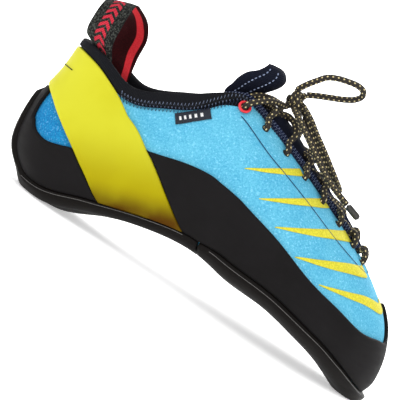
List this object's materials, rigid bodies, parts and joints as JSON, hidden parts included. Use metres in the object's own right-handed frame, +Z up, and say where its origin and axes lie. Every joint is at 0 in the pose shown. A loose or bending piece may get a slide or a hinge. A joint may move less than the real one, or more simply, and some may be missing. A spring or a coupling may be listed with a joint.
{
  "type": "climbing shoe",
  "caption": "Down-turned lace-up climbing shoe for the right foot, with a hollow upper, wrapped rubber rands, a slanting heel strap and a pull loop at the heel.",
  "frame": {"origin": "middle of the heel's flat resting spot, on the floor", "axes": "+X from heel to toe, +Y to the inner side of the foot, +Z up"},
  "size_m": [0.2516, 0.098, 0.1522],
  "materials": {
    "blue_upper": "matte microfibre",
    "sole_rubber": "satin",
    "rand_rubber": "satin",
    "yellow_rubber": "satin",
    "black_knit": "knitted",
    "navy_tongue": "padded, matte",
    "insole_fabric": "matte",
    "loop_webbing": "woven",
    "lace_cord": "braided",
    "red_eyelet": "anodised",
    "woven_tag": "glossy"
  },
  "bodies": {
    "root": {"upper": "blue_upper", "insole": "insole_fabric", "outsole_heel": "sole_rubber", "outsole_front": "sole_rubber", "heel_strap": "yellow_rubber", "rand_heel_outer": "rand_rubber", "rand_heel_inner": "rand_rubber", "rand_front": "rand_rubber", "collar_cuff": "black_knit", "tongue": "navy_tongue", "pull_loop": "loop_webbing", "eyelet_outer": "red_eyelet", "eyelet_inner": "red_eyelet", "lace_bars": "lace_cord", "lace_knot": "lace_cord", "lace_loop_upper": "lace_cord", "lace_loop_lower": "lace_cord", "lace_end_outer": "lace_cord", "lace_end_inner": "lace_cord", "aglet_outer": "woven_tag", "aglet_inner": "woven_tag"}
  },
  "joints": []
}
